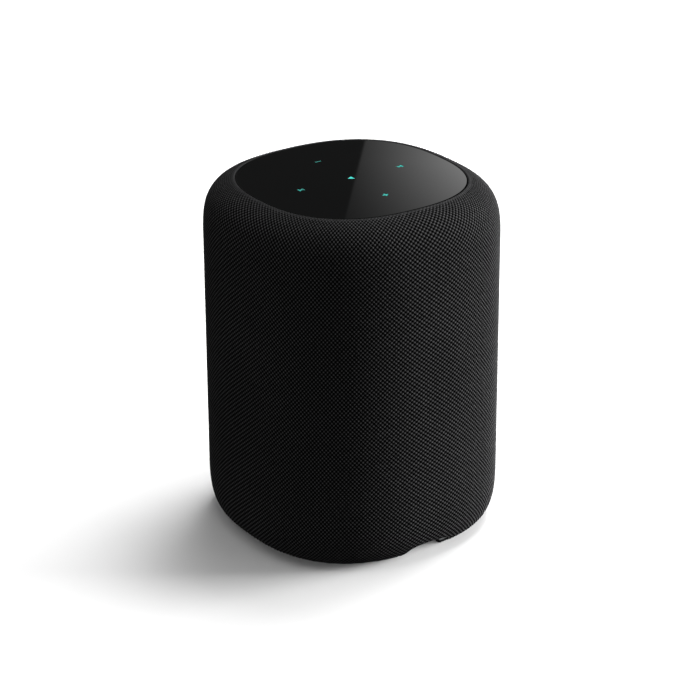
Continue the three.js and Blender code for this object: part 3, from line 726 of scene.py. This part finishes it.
# =================================================================================================
# Outlines about Z, with rounded corners
# =================================================================================================
def rounded_outline(points, radii, steps=4):
    """A closed outline whose corners are rounded by the given radii. Points run round it."""
    out = []
    n = len(points)
    for i in range(n):
        p, a, b = np.array(points[i], float), np.array(points[i - 1], float), np.array(points[(i + 1) % n], float)
        rad = radii[i] if hasattr(radii, "__len__") else radii
        if rad <= 0 or p[0] < 1e-6:
            out.append(tuple(p))
            continue
        da, db = a - p, b - p
        la, lb = np.linalg.norm(da), np.linalg.norm(db)
        da, db = da / la, db / lb
        half = math.acos(max(-1, min(1, float(da @ db)))) / 2
        if half > math.pi / 2 - 0.03:
            out.append(tuple(p))
            continue
        t = min(rad / math.tan(half), la * 0.48, lb * 0.48)
        rr = t * math.tan(half)
        centre = p + (da + db) / np.linalg.norm(da + db) * (rr / math.sin(half))
        s0, s1 = p + da * t - centre, p + db * t - centre
        a0, a1 = math.atan2(s0[1], s0[0]), math.atan2(s1[1], s1[0])
        turn = (a1 - a0 + math.pi) % (2 * math.pi) - math.pi
        for j in range(steps + 1):
            ang = a0 + turn * j / steps
            out.append((centre[0] + rr * math.cos(ang), centre[1] + rr * math.sin(ang)))
    return out


def swept(name, outline, facets=128, rounded_square=False, mat=None, smooth=True):
    """A solid about Z from a closed outline in mm, which may touch the axis, as a closed mesh in metres."""
    theta = even_angles(facets, rounded_square)
    c, s = np.cos(theta), np.sin(theta)
    k = stretch(c, s) if rounded_square else np.ones(facets)
    outline = [tuple(p) for i, p in enumerate(outline) if np.hypot(p[0] - outline[i - 1][0], p[1] - outline[i - 1][1]) > 1e-5]
    area = sum(outline[i - 1][0] * outline[i][1] - outline[i][0] * outline[i - 1][1] for i in range(len(outline)))
    if area < 0:
        outline = outline[::-1]
    points, ring = [], []
    for r, z in outline:
        if r < 1e-6:
            ring.append(np.full(facets, len(points)))
            points.append((0, 0, z))
        else:
            ring.append(len(points) + np.arange(facets))
            points += list(zip(r * k * c, r * k * s, np.full(facets, z)))
    quads, tris = [], []
    for i in range(len(ring)):
        a, b = ring[i], ring[(i + 1) % len(ring)]
        a1, b1 = np.roll(a, -1), np.roll(b, -1)
        on_a, on_b = a[0] == a1[0], b[0] == b1[0]
        if on_a and on_b:
            continue
        if on_a:
            tris.append(np.stack([a, b1, b], 1))
        elif on_b:
            tris.append(np.stack([a, a1, b], 1))
        else:
            quads.append(np.stack([a, a1, b1, b], 1))
    groups = []
    if quads:
        groups.append(np.concatenate(quads))
    if tris:
        groups.append(np.concatenate(tris))
    obj = mesh_of(name, np.array(points) * MM, groups, smooth)
    if mat is not None:
        assign(obj, mat)
    return obj


def smooth_by_angle():
    """A modifier group that shades smooth except over edges sharper than its angle."""
    group = bpy.data.node_groups.get("smooth_by_angle")
    if group:
        return group
    group = bpy.data.node_groups.new("smooth_by_angle", "GeometryNodeTree")
    group.interface.new_socket("Geometry", in_out="INPUT", socket_type="NodeSocketGeometry")
    group.interface.new_socket("Geometry", in_out="OUTPUT", socket_type="NodeSocketGeometry")
    nodes, links = group.nodes, group.links
    start, end = nodes.new("NodeGroupInput"), nodes.new("NodeGroupOutput")
    faces = nodes.new("GeometryNodeSetShadeSmooth")
    faces.domain = "FACE"
    edges = nodes.new("GeometryNodeSetShadeSmooth")
    edges.domain = "EDGE"
    angle = nodes.new("GeometryNodeInputMeshEdgeAngle")
    less = nodes.new("FunctionNodeCompare")
    less.data_type = "FLOAT"
    less.operation = "LESS_EQUAL"
    less.inputs[1].default_value = math.radians(32)
    links.new(angle.outputs["Unsigned Angle"], less.inputs[0])
    links.new(start.outputs[0], faces.inputs["Geometry"])
    links.new(faces.outputs[0], edges.inputs["Geometry"])
    links.new(less.outputs[0], edges.inputs["Shade Smooth"])
    links.new(edges.outputs[0], end.inputs[0])
    return group


def finish_edges(obj, width=0.0003, segments=2, angle=30):
    """Rounded edges and smooth shading, as modifiers."""
    if width:
        bevel = obj.modifiers.new("rounded", "BEVEL")
        bevel.width = width
        bevel.segments = segments
        bevel.limit_method = "ANGLE"
        bevel.angle_limit = math.radians(angle)
        bevel.use_clamp_overlap = True
    smooth = obj.modifiers.new("shade", "NODES")
    smooth.node_group = smooth_by_angle()
    if width:
        flat = obj.modifiers.new("flat_faces", "WEIGHTED_NORMAL")
        flat.weight = 50
        flat.keep_sharp = True
    return obj


# =================================================================================================
# Touch panel: glass with the icons' shapes let through it, and the lit icons
# =================================================================================================
GLASS_HALF, GLASS_TOP, GLASS_THICK = 46.4, 156.8, 2.44
RING = 25.3
STROKE = 0.7


def arrow(tip, back, half, grow=0.0):
    sign = 1 if tip > back else -1
    slope = abs(tip - back) / half
    run = grow * math.sqrt(1 + slope * slope)
    t, b = tip + sign * run, back - sign * grow
    h = abs(t - b) / slope
    return [(b, -h), (t, 0.0), (b, h)] if sign > 0 else [(b, h), (t, 0.0), (b, -h)]


def plus_outline(reach, w):
    return [(-reach, -w), (-w, -w), (-w, -reach), (w, -reach), (w, -w), (reach, -w), (reach, w), (w, w), (w, reach), (-w, reach), (-w, w), (-reach, w)]


def skip_outline(sign, grow=0.0):
    """An arrow head running into a bar, as one outline."""
    tip, back, half = 0.95, -1.1, 1.05
    slope = (tip - back) / half
    run = grow * math.sqrt(1 + slope * slope)
    t, b = tip + run, back - grow
    h = (t - b) / slope
    x0, x1, top = 0.75 - grow, 0.75 + STROKE + grow, 1.05 + grow
    y = (t - x0) / slope
    pts = [(b, -h), (x0, -y), (x0, -top), (x1, -top), (x1, top), (x0, top), (x0, y), (b, h)]
    return [(sign * px, py) for px, py in pts]


HALF_STROKE = STROKE / 2
ICONS = {
    "icon_play": (0, 0, lambda g: arrow(1.67, -0.85, 1.45, g)),
    "icon_next": (1, 0, lambda g: skip_outline(1, g)),
    "icon_previous": (-1, 0, lambda g: skip_outline(-1, g)),
    "icon_volume_up": (0, 1, lambda g: plus_outline(1.3 + g, HALF_STROKE + g)),
    "icon_volume_down": (0, -1, lambda g: [(-1.45 - g, -HALF_STROKE - g), (1.45 + g, -HALF_STROKE - g), (1.45 + g, HALF_STROKE + g), (-1.45 - g, HALF_STROKE + g)]),
}


def curve_solid(name, outlines, z0, z1, bevel, mat):
    """Flat outlines in mm, the first the outside and the rest holes, raised from z0 to z1 with a small bevel inside that height."""
    data = bpy.data.curves.new(name, "CURVE")
    data.dimensions = "2D"
    data.fill_mode = "BOTH"
    for outline in outlines:
        spline = data.splines.new("POLY")
        spline.points.add(len(outline) - 1)
        for point, (x, y) in zip(spline.points, outline):
            point.co = (x * MM, y * MM, 0, 1)
        spline.use_cyclic_u = True
    data.extrude = ((z1 - z0) / 2 - bevel) * MM
    data.bevel_depth = bevel * MM
    data.bevel_resolution = 2
    data.offset = -bevel * MM
    temp = bpy.data.objects.new(name + "_curve", data)
    bpy.context.scene.collection.objects.link(temp)
    temp.location.z = (z0 + z1) / 2 * MM
    bpy.context.view_layer.update()
    dg = bpy.context.evaluated_depsgraph_get()
    mesh = bpy.data.meshes.new_from_object(temp.evaluated_get(dg), depsgraph=dg)
    mesh.transform(temp.matrix_world)
    mesh.name = name
    bpy.data.objects.remove(temp)
    bpy.data.curves.remove(data)
    bm = bmesh.new()
    bm.from_mesh(mesh)
    bmesh.ops.remove_doubles(bm, verts=bm.verts, dist=1e-7)
    bmesh.ops.recalc_face_normals(bm, faces=bm.faces)
    for face in bm.faces:
        face.smooth = abs(face.normal.z) < 0.999
    bm.to_mesh(mesh)
    bm.free()
    obj = bpy.data.objects.new(name, mesh)
    bpy.context.scene.collection.objects.link(obj)
    if not mesh.materials:
        mesh.materials.append(mat)
    assign(obj, mat)
    return obj


def shift(outline, x, y):
    return [(px + x, py + y) for px, py in outline]


def glass_outline(half, count=360):
    t = even_angles(count)
    k = stretch(np.cos(t), np.sin(t))
    return list(zip(half * k * np.cos(t), half * k * np.sin(t)))


panes = [glass_outline(GLASS_HALF)]
for ix, iy, shape in ICONS.values():
    panes.append(shift(shape(0.06), ix * RING, iy * RING)[::-1])
glass = curve_solid("touch_panel_glass", panes, GLASS_TOP - GLASS_THICK, GLASS_TOP, 0.18, GLASS)
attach(glass, "housing")
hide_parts("top_glass")

# How bright each is at its outer end, and how much of that is left at its inner end.
ICON_GLOW = {
    "icon_play": (0.74, 1.0), "icon_next": (0.28, 0.06), "icon_previous": (0.45, 0.35),
    "icon_volume_up": (0.42, 0.9), "icon_volume_down": (0.08, 0.6),
}
for name, (ix, iy, shape) in ICONS.items():
    under = GLASS_TOP - GLASS_THICK
    strength, inner = ICON_GLOW[name]
    light = icon_light(name + "_light", strength, (ix * RING * MM, iy * RING * MM, GLASS_TOP * MM), (ix, iy, 0), inner)
    glyph = curve_solid(name + "_lit", [shift(shape(0.0), ix * RING, iy * RING)], under - 0.5, GLASS_TOP - 0.02, 0.05, light)
    flange = swept(name + "_flange", rounded_outline([(0, under - 1.16), (3.0, under - 1.16), (3.0, under - 0.3), (0, under - 0.3)], 0.2), 48, False, light)
    flange.data.transform(Matrix.Translation((ix * RING * MM, iy * RING * MM, 0)))
    bm = bmesh.new()
    bm.from_mesh(glyph.data)
    bm.from_mesh(flange.data)
    bm.to_mesh(glyph.data)
    bm.free()
    bpy.data.objects.remove(flange)
    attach(glyph, "housing")
    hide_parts(name)

# =================================================================================================
# Carried-over CAD pieces
# =================================================================================================
CARRIED = {
    "grille_cage": (PLASTIC, 0.3), "foot_ring": (FOOT, 0.3), "base_rim": (RIM, 0.25), "base_cover": (BASE_PLASTIC, 0.4),
    "base_pan": (BASE_PLASTIC, 0.4), "power_board": (BOARD, 0.25), "dc_jack": (PLASTIC, 0.3), "acoustic_diffuser": (PLASTIC, 0.5),
    "lower_enclosure": (PLASTIC, 0.5), "enclosure_seal": (SEAL, 0.2), "upper_enclosure": (PLASTIC, 0.5), "woofer_basket": (STEEL, 0.3),
    "woofer_top_plate": (STEEL, 0.3), "woofer_magnet": (FERRITE, 0.3), "woofer_yoke": (STEEL, 0.3), "woofer_voice_coil": (WINDING, 0.1),
    "woofer_cone": (PULP, 0.15), "woofer_dust_cap": (PULP, 0.15),
    "left_radiator_frame": (PLASTIC, 0.3), "right_radiator_frame": (PLASTIC, 0.3), "left_radiator_diaphragm": (ALLOY, 0.2), "right_radiator_diaphragm": (ALLOY, 0.2),
    "tweeter_housing": (PLASTIC, 0.2), "tweeter_magnet": (STEEL, 0.2), "tweeter_dome": (PULP, 0.1), "main_board": (BOARD, 0.2),
    "processor_shield": (STEEL, 0.2), "heat_sink": (ALLOY, 0.2), "antenna_left": (COPPER, 0.15), "antenna_right": (COPPER, 0.15),
    "board_ribbon": (FLEX, 0.1), "top_carrier": (PLASTIC, 0.3), "touch_board": (BOARD, 0.2), "microphone_left": (STEEL, 0.15),
    "microphone_right": (STEEL, 0.15), "light_guide": (MILK, 0.2), "glass_gasket": (FOAM, 0.2),
}
for kind in ("base_screw", "woofer_screw", "carrier_screw"):
    for i in range(1, 5):
        CARRIED[f"{kind}_{i}"] = (SCREW, 0.08)
for name, (mat, width) in CARRIED.items():
    assign(NODES[name], mat)
    finish_edges(NODES[name], width * MM)


# =================================================================================================
# Rings round the woofer and the radiators: the surrounds and the spider
# =================================================================================================
def half_roll(radius, thick, across, base, side, count=14):
    """The section of a surround: a flattened half circle, bulging towards +Z or -Z by side."""
    turn = [math.pi * (1 + i / count) for i in range(count + 1)]
    outer = [(across + radius * math.cos(a), base + side * 0.88 * radius * math.sin(a)) for a in turn]
    inner = [(across + (radius - thick) * math.cos(a), base + side * 0.88 * (radius - thick) * math.sin(a)) for a in turn[::-1]]
    return outer + inner


def flexing(obj, node):
    """obj stands in for the node, which is hidden; obj gets smooth shading, and its transform is baked into its points.
    """
    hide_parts(node)
    finish_edges(obj, 0)
    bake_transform(obj)


WOOFER_Z, RADIATOR_Z = 47.0, 80.0
roll = swept("woofer_surround_flexing", [(r, z + WOOFER_Z) for r, z in half_roll(2.4, 0.6, 30.8, 3.9, 1)], 96, mat=SEAL)
flexing(roll, "woofer_surround")
waves = [(8.6 + 16.4 * i / 32, 16.6 + 0.45 * (1 - math.cos(i / 8 * math.pi))) for i in range(33)]
spider = swept(
    "woofer_spider_flexing", [(r, z + WOOFER_Z) for r, z in waves + [(r, z + 0.45) for r, z in waves[::-1]]], 96, mat=SPIDER,
)
# The outer corrugations stay clear of the basket's plate.
flexing(spider, "woofer_spider")
for side, sign in (("left", -1), ("right", 1)):
    node = NODES[f"{side}_radiator_surround"]
    flat = min(abs((node.matrix_world @ v.co).x) for v in node.data.vertices) / MM - 1.5
    roll = swept(f"{side}_radiator_surround_flexing", half_roll(2.35, 0.6, 17.95, 1.5, -1), 80, mat=SEAL)
    roll.data.transform(Matrix.Translation((sign * flat * MM, 0, RADIATOR_Z * MM)) @ Matrix.Rotation(sign * math.pi / 2, 4, "Y"))
    flexing(
        roll, f"{side}_radiator_surround",
    )

# =================================================================================================
# Stage: floor, cards and lights
# =================================================================================================


def toward(azimuth, elevation):
    """A direction from the hub. Azimuth 0 points to the camera's side and 90 to the picture's right."""
    a = CAMERA_AZIMUTH + math.radians(azimuth)
    e = math.radians(elevation)
    return Vector((math.cos(e) * math.cos(a), math.cos(e) * math.sin(a), math.sin(e)))


def softbox(name, azimuth, elevation, distance, width, height, radiance, aim=(0, 0, 0.07)):
    """An area light facing the hub. Radiance is what a mirror would show of it."""
    data = bpy.data.lights.new(name, "AREA")
    data.shape = "RECTANGLE"
    data.size, data.size_y = width, height
    data.energy = radiance * math.pi * width * height
    light = bpy.data.objects.new(name, data)
    bpy.context.scene.collection.objects.link(light)
    d = toward(azimuth, elevation)
    light.location = Vector(aim) + d * distance
    light.rotation_mode = "QUATERNION"
    light.rotation_quaternion = d.to_track_quat("Z", "Y")
    light.visible_camera = False
    light.visible_glossy = False  # the panel shows only the graded card
    return light


def floor():
    m, net = material("studio_floor")
    at = position(net)
    net.surface(
        Base_Color=net.mix(net.noise(at, 3.0, 3.0), grey(0.825), grey(0.845)),
        Roughness=net.ramp(net.noise(at, 40.0, 2.0), 0.3, 0.7, 0.85, 0.95),
        Specular_IOR_Level=0.1,
    )
    obj = mesh_of("studio_floor", [(-6, -6, 0), (6, -6, 0), (6, 6, 0), (-6, 6, 0)], [[(0, 1, 2, 3)]], False)
    assign(obj, m)
    obj.visible_diffuse = False  # the hub stands on white, and isn't lit from below by it
    return obj


floor()

LIGHTS = {
    "high_back_right": (150, 65, 1.6, 0.8, 0.8, 13.3),
    "low_back_right": (150, 5, 1.6, 0.8, 0.8, 9.33),
    "rim_right": (125, 5, 1.6, 0.8, 0.8, 5.68),
    "side_right": (100, 5, 1.6, 0.8, 0.8, 55.9),
    "front_right": (75, 5, 1.6, 0.8, 0.8, 4.07),
    "overhead": (0, 88, 1.6, 0.8, 0.8, 2.43),
    "high_left": (270, 55, 1.6, 0.8, 0.8, 0.85),
    "front_left": (300, 5, 1.6, 0.8, 0.8, 1.85),
    "front": (330, 10, 1.6, 0.8, 0.8, 1.83),
}
for name, (az, el, dist, w, h, power) in LIGHTS.items():
    softbox(name, az, el, dist, w, h, power)


def arch_fill():
    """A little light under the arch, which only the floor takes."""
    data = bpy.data.lights.new("arch_fill", "AREA")
    data.shape = "RECTANGLE"
    data.size, data.size_y = 0.021, 0.012
    data.energy = ARCH_FILL * math.pi * data.size * data.size_y
    light = bpy.data.objects.new("arch_fill", data)
    bpy.context.scene.collection.objects.link(light)
    light.location = (ARCH_CENTRE * MM, 0.0475, 0.0055)
    light.visible_camera = light.visible_glossy = False
    takers = bpy.data.collections.new("arch_fill_takers")
    takers.objects.link(bpy.data.objects["studio_floor"])
    light.light_linking.receiver_collection = takers
    return light


ARCH_FILL = 0.2
arch_fill()


def reflector(distance=1.5):
    """A graded card behind the hub, which only its gloss shows: a dark flag on the left, and a light that brightens to the right."""
    m = bpy.data.materials.new("reflector_light")
    m.use_nodes = True
    net = Net(m.node_tree)
    at = net.add("ShaderNodeSeparateXYZ", {"Vector": position(net)})
    t, z = at, at.node.outputs[2]  # the card's own x runs to the picture's right, and z is height
    grade = net.math("MULTIPLY_ADD", net.math("MULTIPLY_ADD", t, 43.0, 3.2), t, 0.087)
    fall = net.ramp(z, 0.682, 0.745, 1.0, 0.45, smooth=False)
    edge = net.math("SUBTRACT", t, net.ramp(z, 0.655, 0.745, 0.0167, -0.0054, smooth=False))
    lit = net.ramp(edge, -0.0015, 0.0015)
    strength = net.math("ADD", net.math("MULTIPLY", lit, net.math("MULTIPLY", grade, fall)), 0.040)
    glow = net.add("ShaderNodeEmission", {"Color": grey(1.0), "Strength": strength})
    net.add("ShaderNodeOutputMaterial", {"Surface": glow})
    obj = mesh_of("reflector_card", [(-0.25, 0, 0.5), (0.25, 0, 0.5), (0.25, 0, 0.95), (-0.25, 0, 0.95)], [[(0, 1, 2, 3)]], False)
    away = Vector((-math.cos(CAMERA_AZIMUTH), -math.sin(CAMERA_AZIMUTH), 0))
    obj.matrix_world = Matrix((
        (RIGHT.x, away.x, 0, away.x * distance), (RIGHT.y, away.y, 0, away.y * distance), (0, 0, 1, 0), (0, 0, 0, 1),
    ))
    assign(obj, m)
    obj.visible_camera = obj.visible_diffuse = obj.visible_shadow = obj.visible_transmission = False
    return obj


reflector()

world = bpy.data.worlds.new("studio_world")
bpy.context.scene.world = world
world.use_nodes = True
net = Net(world.node_tree)
background = net.add("ShaderNodeBackground", {"Color": grey(0.121), "Strength": 1.0})
net.add("ShaderNodeOutputWorld", {"Surface": background})

view = bpy.context.scene.view_settings
view.view_transform = "Standard"
view.look = "None"
view.exposure = 0.0
view.gamma = 1.0
